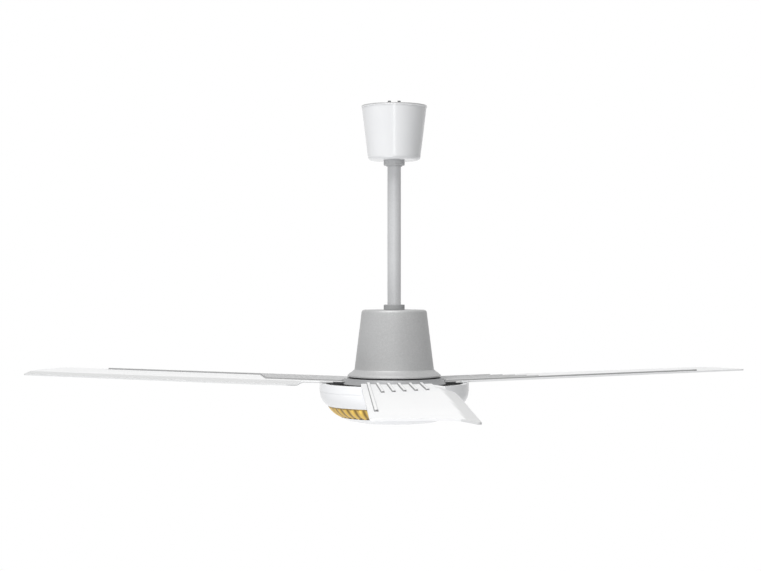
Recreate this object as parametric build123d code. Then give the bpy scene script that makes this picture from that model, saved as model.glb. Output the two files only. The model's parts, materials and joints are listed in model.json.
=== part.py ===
from build123d import *
from math import asin, cos, degrees, radians, sin
import os

# A ceiling fan that hangs from a hook: clevis, downrod, outer rotor motor, three blades.
# Millimetres. The origin is the centre of the hanger roller, +Z points up to the ceiling.
os.makedirs("parts", exist_ok=True)

# Clearances
fit = 0.03  # between pieces pressed or slid together in one body
running = 0.06  # between a pin and what turns on it
slide_gap = 0.3  # between the downrod and what slides along it
seat_gap = 0.3  # between the blades and the bowl

# Hanger
roller_r = 12.0
roller_width = 10.2
roller_groove = 2.6
bush_r = 6.0
bush_end_gap = 0.1
hanger_bolt_r = 4.0
hanger_bolt_flats = 13.0
hanger_head = 5.3
hanger_nut_height = 6.5
bolt_tail = 6.0
ear_gap = 10.6
ear_thickness = 4.5
ear_width = 22.0
ear_top = 14.0
web_top = -28.0
web_thickness = 5.0
spigot_length = 24.0

# Downrod and its cross bolts
rod_r = 10.5
rod_wall = 2.95
rod_length = 300.0
cross_bolt_r = 3.0
cross_bolt_flats = 10.0
cross_head = 4.0
cross_nut_height = 5.0
cross_bolt_inset = 11.0
rope_hole_r = 4.0
rope_hole_drop = 36.0
pin_r = 0.9
pin_reach = 6.5
pin_eye = 1.8

# Terminal block on a strap round the rod
strap_wall = 1.5
strap_height = 8.0
strap_drop = 20.0
terminal_width = 24.0
terminal_depth = 10.0
terminal_height = 18.0
terminal_plate = 1.5

# Canopy
canopy_rim_z = 6.0
canopy_height = 85.0
canopy_rim_r = 50.7
canopy_floor_r = 40.4
canopy_wall = 2.2
canopy_corner = 6.0
canopy_lip = 3.0
canopy_lip_out = 0.6
collar_r = 16.3
collar_height = 8.0
collar_neck = 1.6
collar_neck_r = 12.2
collar_spigot = 2.0
set_screw_r = 2.0
set_screw_proud = 1.0

# Motor cover, heights above the face that the blades seat on
seat_drop = 90.0  # from the foot of the downrod to the blades' top face
cover_top = 111.3
cover_top_r = 50.4
cover_corner = 4.5
cover_skirt = 18.5
cover_skirt_r = 61.9
cover_flare = 8.7
cover_rim_r = 72.6
cover_rim = 6.7
cover_wall = 2.0

# Motor
shaft_r = 7.5
shaft_bore_r = 3.5
shaft_grip = 45.0
shaft_end = 49.5  # below the seat
bearing_r = 17.5
bearing_width = 11.0
race_wall = 3.1
ball_r = 3.0
ball_gap = 0.06
ball_count = 8
cage_wall = 1.6
cage_low = -1.0  # from the balls' middle
cage_high = 4.0
upper_bearing = 27.0  # top of the upper bearing above the seat
lower_bearing = 36.0  # top of the lower bearing below the seat
clip_r = 10.0
clip_thickness = 1.2
housing_wall = 3.5
shell_r = 55.0
shell_wall = 3.5
shell_split = 4.3  # below the seat, also the lower edge of the ring
dome_shoulder = 17.0
dome_foot = 27.0
dome_drop = 9.0
ring_top = 4.4
ring_top_r = 73.3
ring_r = 81.5
vent_r = 5.0
vent_circle_r = 38.0
vent_count = 6
air_gap = 0.6
rotor_ring_wall = 8.0
stator_height = 30.0
stator_drop = 7.0  # middle of the stator below the seat
stator_hub_r = 19.0
tooth_count = 12
tooth_width = 7.0
tooth_shoe = 3.4
tooth_shoe_width = 19.0
coil_inner_r = 26.0
coil_gap = 2.5  # between a coil and the shoe of its tooth
coil_wall = 3.0
coil_head = 3.5
shell_screw_r = 2.0
shell_screw_circle_r = 69.0
ear_plate = 4.0
ear_plate_width = 12.0
shell_ear_r = 74.5
capacitor_size = (26.0, 15.0, 34.0)
capacitor_drop = 14.0
bracket_plate = 1.5
bracket_band = 10.0

# Blades, u along the blade from the fan's axis and v across it
blade_count = 3
front_blade_angle = -90.0
blade_thickness = 2.5
root_start = 60.0
root_half = 54.0
root_end = 85.0
tip_u_back = 697.0
tip_u_lip = 689.0
tip_half_back = root_half + 8.5
tip_half_lip = root_half + 9.0
shoulder_u = 190.0
shoulder_v = root_half + 24.0
neck_u = 105.0
neck_v = root_half + 6.0
flank_u = 138.0
flank_v = root_half + 17.0
middle_u = 352.0
middle_v = root_half + 20.0
tip_corner = 5.0
tip_rise = 1.5
lip_width = 19.5
lip_start = 126.0
lip_full = 135.0
lip_drop_root = 4.7
lip_drop_tip = 4.0
crease_root_v = root_half - 8.0
crease_tip_v = 12.0
crease_drop = 1.0
rib_height = 2.5
rib_width = 4.6
rib_gap = 0.7
short_rib_end = 262.0  # the rib nearest the back edge; each rib towards the lip ends sooner
short_rib_slant = 0.75  # mm sooner for each mm across
short_rib_places = (-0.537, -0.241, 0.056, 0.37, 0.685)  # as shares of the root's half width
long_rib_root_v = 11.5 - root_half
long_rib_tip_v = 11.5 - tip_half_back
long_rib_end = 592.0
blade_screw_r = 2.5
blade_screw_spots = ((66.0, -24.0), (68.0, 0.0), (66.0, 24.0))
blade_screw_bite = 3.6
pan_head_height = 3.2
gasket_thickness = 2.0
gasket_inset = 1.0
gasket_end = 88.0

# Hub cover, gold ring and bottom cap
bowl_r = 115.9
band_out = 2.7
band_height = 14.3
bowl_curve = 28.2
bowl_foot_r = 104.0
bowl_foot_drop = 37.3
bowl_wall = 2.6
ledge_r = 107.0
ledge_drop = 3.0
ledge_thickness = 2.5
notch_side = 1.2
floor_step = 4.5  # from the bowl's foot in to the ledge that the gold ring sits on
floor_thickness = 3.0
floor_hole_r = 23.0
cover_screw_r = 2.0
cover_screw_circle_r = 40.0
cover_boss_r = 5.0
gold_groove = 0.7
gold_foot_in = 19.8
gold_foot_drop = 54.6
gold_bulge_in = 7.7
gold_bulge_drop = 46.6
gold_wall = 2.4
gold_ledge = 4.5
flute_count = 42
flute_r = 4.6
flute_depth = 1.0
cap_wall = 2.2
cap_spigot_in = 4.0
cap_turn_in = 24.2
cap_turn_rise = 1.4
cap_bottom_drop = 64.0

# Heights worked out from the sizes above
rod_top_z = web_top - web_thickness
rod_foot_z = rod_top_z - rod_length
seat_z = rod_foot_z - seat_drop
rod_bore_r = rod_r - rod_wall
ear_out = ear_gap / 2 + ear_thickness
upper_bolt_z = rod_top_z - cross_bolt_inset
lower_bolt_z = rod_foot_z + cross_bolt_inset
rope_hole_z = rod_top_z - rope_hole_drop
canopy_floor_z = canopy_rim_z - canopy_height
upper_bearing_z = seat_z + upper_bearing
lower_bearing_z = seat_z - lower_bearing
split_z = seat_z - shell_split
ball_circle_r = (shaft_r + bearing_r) / 2
stator_r = shell_r - shell_wall - rotor_ring_wall - air_gap
coil_length = stator_r - tooth_shoe - coil_gap - coil_inner_r
floor_step_r = bowl_foot_r - floor_step
gold_bulge_r = bowl_foot_r - gold_bulge_in
gold_foot_r = bowl_foot_r - gold_foot_in
cap_spigot_r = gold_foot_r - cap_spigot_in
cap_turn_r = gold_foot_r - cap_turn_in
blade_angles = [front_blade_angle + turn * 360 / blade_count for turn in range(blade_count)]
gap_angles = [angle + 180 / blade_count for angle in blade_angles]


def save(name, shape):
    shape.label = name
    export_step(shape, f"parts/{name}.step")


def group(solids):
    return Compound(children=[piece for solid in solids for piece in solid.solids()])


def post(radius, low, high):
    return Pos(0, 0, low) * Cylinder(radius, high - low, align=(Align.CENTER, Align.CENTER, Align.MIN))


def tube(radius, bore, low, high):
    return post(radius, low, high) - post(bore, low - 1, high + 1)


def hexagon(flats, low, high):
    outline = RegularPolygon(flats / 2, 6, major_radius=False)
    return Pos(0, 0, low) * extrude(outline, high - low)


def turned(points, rounds=None):
    # Points are (radius, height), and rounds gives the fillet of each corner by its place.
    radii = [(rounds or {}).get(place, 0) for place in range(len(points))]
    outline = FilletPolyline(*points, radius=radii, close=True)
    return revolve(Plane.XZ * make_face(outline), Axis.Z)


def round_the_axis(angles, shape):
    return [Rot(0, 0, angle) * shape for angle in angles]


def along_x(shape):
    return Rot(0, 90, 0) * shape


# Hanger


def hanger_roller():
    half = roller_width / 2
    body = tube(roller_r, bush_r + fit, -half, half)
    groove_r = (half**2 + roller_groove**2) / (2 * roller_groove) * 0.8
    groove = Torus(roller_r - roller_groove + groove_r, groove_r)
    return along_x(body - groove)


def roller_bush():
    half = ear_gap / 2 - bush_end_gap
    return along_x(tube(bush_r, hanger_bolt_r + running, -half, half))


def hanger_clevis():
    outline = Pos(0, ear_top) * Rectangle(ear_width, ear_top - web_top, align=(Align.CENTER, Align.MAX))
    outline = fillet(outline.vertices().group_by(Axis.Y)[-1], ear_width / 2 - 0.5)
    ear = extrude(Plane.YZ * outline, ear_thickness)
    ears = Pos(ear_gap / 2, 0, 0) * ear + Pos(-ear_out, 0, 0) * ear
    web = Pos(0, 0, rod_top_z) * Box(
        2 * ear_out, ear_width, web_thickness, align=(Align.CENTER, Align.CENTER, Align.MIN)
    )
    spigot = post(rod_bore_r - fit, rod_top_z - spigot_length, rod_top_z)
    hole = along_x(post(hanger_bolt_r + fit, -ear_out - 1, ear_out + 1))
    cross_hole = Pos(0, 0, upper_bolt_z) * along_x(post(cross_bolt_r + fit, -rod_r, rod_r))
    return ears + web + spigot - hole - cross_hole


def bolt(radius, flats, head, span, nut_height):
    # Lies along X, its head at the low end, with a cross hole in the tail for a split pin.
    half = span / 2
    end = half + nut_height + bolt_tail
    body = hexagon(flats, -half - head, -half) + post(radius, -half, end)
    pin_hole = Pos(0, 0, end - bolt_tail / 2) * Rot(90, 0, 0) * Cylinder(pin_r + fit, 4 * radius)
    return along_x(body - pin_hole)


def nut(radius, flats, span, nut_height):
    body = hexagon(flats, span / 2, span / 2 + nut_height)
    return along_x(body - post(radius + fit, span / 2 - 1, span / 2 + nut_height + 1))


def split_pin(span, nut_height):
    pin = Rot(90, 0, 0) * Cylinder(pin_r, 2 * pin_reach)
    eye = Pos(0, -pin_reach - pin_eye + pin_r / 2, 0) * Rot(90, 0, 90) * Torus(pin_eye, pin_r * 0.7)
    return Pos(span / 2 + nut_height + bolt_tail / 2, 0, 0) * (pin + eye)


def cross_bolt_places():
    return [Pos(0, 0, upper_bolt_z), Pos(0, 0, lower_bolt_z)]


# Downrod and what it carries at its head


def downrod():
    body = tube(rod_r, rod_bore_r, rod_foot_z, rod_top_z)
    for place in cross_bolt_places():
        body -= place * along_x(post(cross_bolt_r + fit, -2 * rod_r, 2 * rod_r))
    body -= Pos(0, 0, rope_hole_z) * along_x(post(rope_hole_r, -2 * rod_r, 2 * rod_r))
    wire_hole = Rot(90, 0, 0) * post(rope_hole_r, -2 * rod_r, 0)
    return body - Pos(0, 0, rope_hole_z) * wire_hole


def terminal_strap():
    middle = rod_top_z - strap_drop - strap_height / 2
    band = Pos(0, 0, middle) * tube(
        rod_r + fit + strap_wall, rod_r + fit, -strap_height / 2, strap_height / 2
    )
    face = rod_r + fit + strap_wall - 0.5
    plate = Pos(0, face, middle) * Box(
        terminal_width, terminal_plate, terminal_height, align=(Align.CENTER, Align.MIN, Align.CENTER)
    )
    return band + plate


def terminal_block():
    middle = rod_top_z - strap_drop - strap_height / 2
    face = rod_r + fit + strap_wall - 0.5 + terminal_plate
    body = Pos(0, face, middle) * Box(
        terminal_width, terminal_depth, terminal_height, align=(Align.CENTER, Align.MIN, Align.CENTER)
    )
    for side in (-1, 0, 1):
        well = Rot(90, 0, 0) * post(terminal_width / 9, -terminal_depth, -terminal_depth / 2)
        body -= Pos(side * terminal_width / 3.2, face, middle) * well
    return body


# Canopy


def canopy():
    floor_z, rim_z = canopy_floor_z, canopy_rim_z
    wall, lip = canopy_wall, canopy_lip
    lip_r = canopy_rim_r - (canopy_rim_r - canopy_floor_r) * lip / canopy_height
    points = [
        (collar_spigot_r() + fit, floor_z),
        (canopy_floor_r, floor_z),
        (lip_r, rim_z - lip),
        (lip_r + canopy_lip_out, rim_z - lip),
        (canopy_rim_r + canopy_lip_out, rim_z),
        (canopy_rim_r - wall, rim_z),
        (canopy_floor_r - wall, floor_z + wall),
        (collar_spigot_r() + fit, floor_z + wall),
    ]
    return turned(points, {1: canopy_corner, 4: 0.8, 6: canopy_corner - wall})


def collar_spigot_r():
    return rod_r + slide_gap + collar_spigot


def collar(bottom, top, spigot_low, spigot_high):
    body = turned(
        [
            (rod_r + slide_gap, bottom),
            (collar_r, bottom),
            (collar_r, top),
            (rod_r + slide_gap, top),
        ],
        {1: 1.0, 2: 1.0},
    )
    body += tube(collar_spigot_r(), rod_r + slide_gap, spigot_low, spigot_high)
    return body - Pos(0, 0, (bottom + top) / 2) * back_hole(set_screw_r + fit)


def back_hole(radius):
    return Rot(-90, 0, 0) * post(radius, 0, 2 * collar_r)


def set_screw(height):
    body = post(set_screw_r, rod_r + slide_gap, collar_r + set_screw_proud)
    socket = hexagon(set_screw_r, collar_r - 1, collar_r + 2 * set_screw_proud)
    return Pos(0, 0, height) * Rot(-90, 0, 0) * (body - socket)


def canopy_collar():
    top = canopy_floor_z
    body = collar(top - collar_height, top, top, top + canopy_wall)
    neck_low = top - collar_height - collar_neck
    return body + tube(collar_neck_r, rod_r + slide_gap, neck_low, top - collar_height)


# Motor cover


def motor_cover():
    top, wall = seat_z + cover_top, cover_wall
    skirt = seat_z + cover_skirt
    flare, rim = seat_z + cover_flare, seat_z + cover_rim
    points = [
        (collar_spigot_r() + fit, top),
        (cover_top_r, top),
        (cover_skirt_r, skirt),
        (cover_rim_r, flare),
        (cover_rim_r, rim),
        (cover_rim_r - wall, rim),
        (cover_rim_r - wall, flare + wall * 0.4),
        (cover_skirt_r - wall, skirt + wall * 0.4),
        (cover_top_r - wall, top - wall),
        (collar_spigot_r() + fit, top - wall),
    ]
    return turned(points, {1: cover_corner, 2: 2.0, 3: 0.6, 8: cover_corner - wall})


def motor_cover_collar():
    top = seat_z + cover_top
    return collar(top, top + collar_height, top - cover_wall, top)


# Motor shaft, bearings and stator


def motor_shaft():
    low, high = seat_z - shaft_end, rod_foot_z + shaft_grip
    body = tube(shaft_r, shaft_bore_r, low, high)
    return body - Pos(0, 0, lower_bolt_z) * along_x(post(cross_bolt_r + fit, -rod_r, rod_r))


def race_groove(top):
    return Pos(0, 0, top - bearing_width / 2) * Torus(ball_circle_r, ball_r + ball_gap)


def inner_race(top):
    return tube(shaft_r + race_wall, shaft_r, top - bearing_width, top) - race_groove(top)


def outer_race(top):
    return tube(bearing_r, bearing_r - race_wall, top - bearing_width, top) - race_groove(top)


def ball_set(top):
    middle = Pos(0, 0, top - bearing_width / 2)
    cage = tube(ball_circle_r + cage_wall / 2, ball_circle_r - cage_wall / 2, cage_low, cage_high)
    balls = []
    for number in range(ball_count):
        place = Rot(0, 0, number * 360 / ball_count) * Pos(ball_circle_r, 0, 0)
        cage -= place * Sphere(ball_r + ball_gap)
        balls.append(middle * place * Sphere(ball_r))
    return group([middle * cage] + balls)


def clip(low):
    body = tube(clip_r, shaft_r, low, low + clip_thickness)
    gap = Pos(clip_r, 0, low) * Box(2 * clip_r, 3, 3 * clip_thickness)
    return body - gap


def stator_core():
    low, high = seat_z - stator_drop - stator_height / 2, seat_z - stator_drop + stator_height / 2
    middle = (low + high) / 2
    body = tube(stator_hub_r, shaft_r, low, high)
    shoe_ring = tube(stator_r, stator_r - tooth_shoe, low, high)
    tooth = Pos(stator_hub_r - 1, 0, middle) * Box(
        stator_r - stator_hub_r, tooth_width, stator_height, align=(Align.MIN, Align.CENTER, Align.CENTER)
    )
    shoe = Pos(stator_r, 0, middle) * Box(4 * tooth_shoe, tooth_shoe_width, stator_height)
    shoe = shoe_ring & shoe
    for angle in tooth_angles():
        body += Rot(0, 0, angle) * (tooth + shoe)
    return body & post(stator_r, low, high)


def tooth_angles():
    return [number * 360 / tooth_count for number in range(tooth_count)]


def stator_windings():
    middle = Pos(coil_inner_r, 0, seat_z - stator_drop)
    side = (Align.MIN, Align.CENTER, Align.CENTER)
    outer = Box(coil_length, tooth_width + 2 * coil_wall, stator_height + 2 * coil_head, align=side)
    outer = fillet(outer.edges().filter_by(Axis.X), coil_wall - 0.5)
    inner = Box(3 * coil_length, tooth_width + 2 * fit, stator_height + 2 * fit)
    return group(round_the_axis(tooth_angles(), middle * (outer - inner)))


def capacitor_bracket():
    low = rod_foot_z - capacitor_drop - bracket_band
    band = tube(shaft_r + fit + bracket_plate, shaft_r + fit, low, low + bracket_band)
    plate = Pos(0, shaft_r, low) * Box(
        capacitor_size[0], bracket_plate, capacitor_size[2], align=(Align.CENTER, Align.MIN, Align.MAX)
    )
    web = Pos(0, shaft_r, low) * Box(
        capacitor_size[0], bracket_plate, bracket_band, align=(Align.CENTER, Align.MIN, Align.MIN)
    )
    bore = post(shaft_r + fit, low - capacitor_size[2] - 1, low + 2 * bracket_band)
    return band + web + plate - bore


def capacitor():
    low = rod_foot_z - capacitor_drop - bracket_band
    body = Pos(0, shaft_r + bracket_plate, low) * Box(
        *capacitor_size, align=(Align.CENTER, Align.MIN, Align.MAX)
    )
    return fillet(body.edges().filter_by(Axis.Z), 2.0)


# Rotor


def root_pocket():
    low = split_z - 1
    width = 2 * (root_half + seat_gap + 0.5)
    side = (Align.MIN, Align.CENTER, Align.MIN)
    return Pos(root_start - seat_gap, 0, low) * Box(ring_r, width, seat_z - low, align=side)


def blade_screw_places():
    return [Rot(0, 0, angle) * Pos(u, v, 0) for angle in blade_angles for u, v in blade_screw_spots]


def shell_screw_places():
    return [Rot(0, 0, angle) * Pos(shell_screw_circle_r, 0, 0) for angle in gap_angles]


def rotor_top_shell():
    shoulder, wall = seat_z + dome_shoulder, shell_wall
    roof = upper_bearing_z + wall
    housing_r = bearing_r + housing_wall
    points = [
        (clip_r + 1, roof),
        (housing_r, roof),
        (dome_foot, roof - 2),
        (shell_r, shoulder),
        (shell_r, seat_z + ring_top),
        (ring_top_r, seat_z + ring_top),
        (ring_r, split_z + 1.0),
        (ring_r - 0.6, split_z),
        (shell_r - wall, split_z),
        (shell_r - wall, shoulder - wall),
        (dome_foot, roof - 2 - 1.3 * wall),
        (housing_r, roof - 2 - 1.3 * wall),
        (housing_r, upper_bearing_z - bearing_width),
        (bearing_r + fit, upper_bearing_z - bearing_width),
        (bearing_r + fit, upper_bearing_z),
        (clip_r + 1, upper_bearing_z),
    ]
    body = turned(points, {3: 4.0, 9: 2.0})
    for pocket in round_the_axis(blade_angles, root_pocket()):
        body -= pocket
    for number in range(vent_count):
        hole = Pos(vent_circle_r, 0, 0) * post(vent_r, seat_z + 5, roof + 1)
        body -= Rot(0, 0, (number + 0.5) * 360 / vent_count) * hole
    for place in blade_screw_places():
        body -= place * post(blade_screw_r + fit, seat_z - 1, seat_z + blade_screw_bite)
    for place in shell_screw_places():
        body -= place * post(shell_screw_r + fit, split_z - 1, split_z + shell_split + 2)
    return body


def rotor_bottom_shell():
    wall = shell_wall
    housing_r = bearing_r + housing_wall
    dome = lower_bearing_z + dome_drop
    floor = lower_bearing_z - bearing_width - 3.5
    bowl_top = seat_z - bowl_foot_drop
    points = [
        (0, floor - 2),
        (housing_r, floor - 2),
        (housing_r, lower_bearing_z + 1),
        (shell_r, dome),
        (shell_r, split_z),
        (shell_r - wall, split_z),
        (shell_r - wall, dome + wall * 0.9),
        (housing_r, lower_bearing_z + 1 + wall),
        (bearing_r + fit, lower_bearing_z + 1 + wall),
        (bearing_r + fit, lower_bearing_z - bearing_width),
        (bearing_r - 2, lower_bearing_z - bearing_width),
        (bearing_r - 2, floor),
        (0, floor),
    ]
    body = turned(points, {3: 4.0, 6: 2.0})
    side = (Align.MIN, Align.CENTER, Align.MAX)
    plate = Pos(shell_r - 1, 0, split_z) * Box(
        shell_ear_r - shell_r + 1, ear_plate_width, ear_plate, align=side
    )
    plate = fillet(plate.edges().filter_by(Axis.Z).group_by(Axis.X)[-1], 3.0)
    for place, angle in zip(shell_screw_places(), gap_angles):
        body += Rot(0, 0, angle) * plate
        body -= place * post(shell_screw_r + fit, split_z - 2 * ear_plate, split_z + 1)
    for angle in gap_angles:
        boss = Pos(cover_screw_circle_r, 0, 0) * post(cover_boss_r, bowl_top, bowl_top + 8)
        hole = Pos(cover_screw_circle_r, 0, 0) * post(cover_screw_r + fit, bowl_top - 1, bowl_top + 6)
        body += Rot(0, 0, angle) * boss
        body -= Rot(0, 0, angle) * hole
    return body


def rotor_ring():
    outer = shell_r - shell_wall - fit
    low, high = seat_z - stator_drop - stator_height / 2, seat_z - stator_drop + stator_height / 2
    return tube(outer, outer - rotor_ring_wall + fit, low, high)


def pan_screw(radius, head_z, tip_z):
    head = Pos(0, 0, head_z - pan_head_height) * Cylinder(
        radius * 1.9, pan_head_height, align=(Align.CENTER, Align.CENTER, Align.MIN)
    )
    head = fillet(head.edges().group_by(Axis.Z)[0], pan_head_height * 0.4)
    return head + post(radius, head_z, tip_z)


# Blades


def lip_edge(u):
    # The lip side of the outline between its shoulder and its tip, as a straight taper.
    share = (u - middle_u) / (tip_u_lip - middle_u)
    if u < middle_u:
        share_in = (u - shoulder_u) / (middle_u - shoulder_u)
        return shoulder_v + (middle_v - shoulder_v) * share_in
    return middle_v + (tip_half_lip - middle_v) * share


def blade_height(u):
    return seat_z + tip_rise * max(0, u - gasket_end) / (tip_u_back - gasket_end)


def section(u, low, high):
    # One cross section of the pressed sheet, low and high measured from its top face.
    along = max(0.0, (u - lip_full) / (tip_u_back - lip_full))
    full = u >= lip_full
    edge = flank_v if u <= flank_u else lip_edge(u)
    bend = edge - lip_width
    crease = crease_root_v + (crease_tip_v - crease_root_v) * along
    top = blade_height(u)
    bend_drop = (0.3 + (crease_drop - 0.3) * along) if full else 0.0
    slope = (lip_drop_root + (lip_drop_tip - lip_drop_root) * along) / lip_width if full else 0.0
    beyond = 2.2 * lip_width
    line = [(-2 * root_half, top), (crease, top), (bend, top - bend_drop)]
    line.append((bend + beyond, top - bend_drop - slope * beyond))
    loop = [(v, z + high) for v, z in line] + [(v, z + low) for v, z in reversed(line)]
    return make_face(Polyline(*[(u, v, z) for v, z in loop], close=True))


def sheet(low, high):
    stations = [root_start - 10, gasket_end, lip_start, lip_full, middle_u, tip_u_back + 10]
    return loft([section(u, low, high) for u in stations], ruled=True)


def blade_outline():
    lip_side = Spline(
        (root_end, root_half),
        (neck_u, neck_v),
        (flank_u, flank_v),
        (shoulder_u, shoulder_v),
        (middle_u, middle_v),
        (tip_u_lip, tip_half_lip),
        tangents=[(1, 0.12), (1, (tip_half_lip - middle_v) / (tip_u_lip - middle_u))],
    )
    rest = Polyline(
        (tip_u_lip, tip_half_lip),
        (tip_u_back, -tip_half_back),
        (root_start, -root_half),
        (root_start, root_half),
        (root_end, root_half),
    )
    face = make_face(Curve() + [lip_side, rest])
    corners = face.vertices().group_by(Axis.X)[-2:]
    return fillet([corners[0][0], corners[1][0]], tip_corner)


def rib_outlines():
    width = rib_width / 2
    bars = []
    for place in short_rib_places:
        across = (place - short_rib_places[0]) * root_half
        bar = Pos(root_start, place * root_half) * Rectangle(
            short_rib_end - short_rib_slant * across - root_start, rib_width, align=(Align.MIN, Align.CENTER)
        )
        bars.append(fillet(bar.vertices().group_by(Axis.X)[-1], 1.5))
    long_bar = make_face(
        Polyline(
            (root_start, long_rib_root_v - width),
            (long_rib_end, long_rib_tip_v - width),
            (long_rib_end, long_rib_tip_v + width),
            (root_start, long_rib_root_v + width),
            close=True,
        )
    )
    bars.append(fillet(long_bar.vertices().group_by(Axis.X)[-1], 1.5))
    return bars


def blade():
    low, tall = seat_z - 20, 40
    body = sheet(-blade_thickness, 0) & Pos(0, 0, low) * extrude(blade_outline(), tall)
    rib_sheet = sheet(-blade_thickness / 2, rib_height)
    hub = post(ring_r + rib_gap, low, low + tall)
    for outline in rib_outlines():
        body += (rib_sheet & Pos(0, 0, low) * extrude(outline, tall)) - hub
    for u, v in blade_screw_spots:
        body -= Pos(u, v, 0) * post(blade_screw_r + fit, low, low + tall)
    return body


def blade_gaskets():
    top = seat_z - blade_thickness
    side = (Align.MIN, Align.CENTER, Align.MAX)
    pad = Pos(root_start + gasket_inset, 0, top) * Box(
        gasket_end - root_start - gasket_inset, 2 * root_half, gasket_thickness, align=side
    )
    for u, v in blade_screw_spots:
        pad -= Pos(u, v, 0) * post(blade_screw_r + fit, top - 2 * gasket_thickness, top + 1)
    return group(round_the_axis(blade_angles, pad))


def blade_screws():
    head_z = seat_z - blade_thickness - gasket_thickness
    screw = pan_screw(blade_screw_r, head_z, seat_z + blade_screw_bite - 0.5)
    return group([place * screw for place in blade_screw_places()])


def shell_screws():
    screw = pan_screw(shell_screw_r, split_z - ear_plate, split_z + shell_split + 1)
    return group([place * screw for place in shell_screw_places()])


# Hub cover, gold ring and bottom cap


def root_notch():
    # The room that a blade's root needs in the bowl's rim, as wide as the blade plus a gap.
    side = notch_side
    near, far = ledge_r * 0.75, bowl_r * 1.2
    outline = make_face(
        Polyline(
            (near, -root_half - side),
            (far, -root_half - side),
            (flank_u + 10, flank_v + side),
            (flank_u, flank_v + side),
            (neck_u, neck_v + side),
            (near, root_half + side),
            close=True,
        )
    )
    low = seat_z - blade_thickness - seat_gap
    return Pos(0, 0, low) * extrude(outline, 2 * blade_thickness)


def hub_cover():
    rim, foot = seat_z, seat_z - bowl_foot_drop
    ledge = seat_z - ledge_drop
    wall = bowl_wall
    middle_drop = bowl_curve * 0.62
    middle_r = bowl_r - bowl_curve + (bowl_curve**2 - middle_drop**2) ** 0.5
    start = rim - band_height
    outside = ThreePointArc(
        (bowl_r, start), (middle_r, start - middle_drop), (bowl_foot_r, foot)
    )
    inside = ThreePointArc(
        (bowl_r - wall, start), (middle_r - wall, start - middle_drop), (bowl_foot_r - wall, foot + wall)
    )
    under = foot - floor_thickness
    lines = Polyline(
        (bowl_foot_r, foot),
        (floor_step_r, foot),
        (floor_step_r, under),
        (floor_hole_r, under),
        (floor_hole_r, foot),
        (bowl_foot_r - 3 * wall, foot),
        (bowl_foot_r - wall, foot + wall),
    )
    upper = Polyline(
        (bowl_r - wall, start),
        (bowl_r - wall, ledge - ledge_thickness),
        (ledge_r, ledge - ledge_thickness),
        (ledge_r, ledge),
        (bowl_r - wall, ledge),
        (bowl_r - wall, rim),
        (bowl_r, rim),
        (bowl_r, start),
    )
    body = revolve(Plane.XZ * make_face(Curve() + [outside, lines, inside, upper]), Axis.Z)
    band = tube(bowl_r + band_out, bowl_r - wall / 2, start, rim)
    outer_r = bowl_r + band_out
    back_side = degrees(asin((root_half + notch_side) / outer_r))
    lip_angle = degrees(asin((neck_v + (flank_v - neck_v) * 0.15 + notch_side) / outer_r))
    for angle in blade_angles:
        wedge = make_face(
            Polyline(
                (0, 0),
                (2 * outer_r * cos(radians(-back_side)), 2 * outer_r * sin(radians(-back_side))),
                (2 * outer_r * cos(radians(lip_angle)), 2 * outer_r * sin(radians(lip_angle))),
                close=True,
            )
        )
        band -= Rot(0, 0, angle) * Pos(0, 0, start - 1) * extrude(wedge, band_height + 2)
    body += band
    for notch in round_the_axis(blade_angles, root_notch()):
        body -= notch
    for angle in gap_angles:
        body -= Rot(0, 0, angle) * Pos(cover_screw_circle_r, 0, 0) * post(
            cover_screw_r + fit, under - 1, foot + 1
        )
    return body


def hub_cover_screws():
    under = seat_z - bowl_foot_drop - floor_thickness
    screw = pan_screw(cover_screw_r, under, under + floor_thickness + 5)
    return group(round_the_axis(gap_angles, Pos(cover_screw_circle_r, 0, 0) * screw))


def gold_ring():
    top = seat_z - bowl_foot_drop - gold_groove
    under = seat_z - bowl_foot_drop - floor_thickness
    foot = seat_z - gold_foot_drop
    bulge = seat_z - gold_bulge_drop
    edge_r = bowl_foot_r - gold_groove
    wall = gold_wall
    outside = ThreePointArc((edge_r, top), (gold_bulge_r, bulge), (gold_foot_r, foot))
    inside = ThreePointArc(
        (edge_r - wall - gold_ledge, under - 2),
        (gold_bulge_r - wall, bulge + wall * 0.6),
        (gold_foot_r - wall, foot),
    )
    lines = Polyline(
        (edge_r, top),
        (floor_step_r + fit, top),
        (floor_step_r + fit, under),
        (edge_r - wall - gold_ledge, under),
        (edge_r - wall - gold_ledge, under - 2),
    )
    base = Line((gold_foot_r - wall, foot), (gold_foot_r, foot))
    body = revolve(Plane.XZ * make_face(Curve() + [outside, lines, inside, base]), Axis.Z)
    # Each flute is a round groove that follows the ring's own bulge from its top edge to its foot.
    bend = Torus(outside.radius + flute_r - flute_depth, flute_r)
    groove = Pos(outside.arc_center.X, 0, outside.arc_center.Y) * Rot(90, 0, 0) * bend
    turns = [Rot(0, 0, number * 360 / flute_count) for number in range(flute_count)]
    body -= [turn * groove for turn in turns]
    return body


def bottom_cap():
    foot = seat_z - gold_foot_drop
    under = seat_z - bowl_foot_drop - floor_thickness
    bottom = seat_z - cap_bottom_drop
    turn = bottom + cap_turn_rise
    wall = cap_wall
    corner = (gold_foot_r, foot)
    dish = ThreePointArc(
        corner,
        ((gold_foot_r + cap_turn_r) / 2 + 1.5, (foot + turn) / 2 - 0.9),
        (cap_turn_r, turn),
    )
    outside = Polyline((cap_turn_r, turn), (cap_turn_r / 2, bottom + 0.3), (0, bottom), (0, bottom + wall))
    inside = Polyline(
        (0, bottom + wall),
        (cap_turn_r / 2, bottom + wall + 0.3),
        (cap_turn_r, turn + wall),
        (cap_spigot_r - wall, foot - 1.5),
        (cap_spigot_r - wall, under),
        (cap_spigot_r, under),
        (cap_spigot_r, foot),
        corner,
    )
    return revolve(Plane.XZ * make_face(Curve() + [dish, outside, inside]), Axis.Z)


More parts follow.
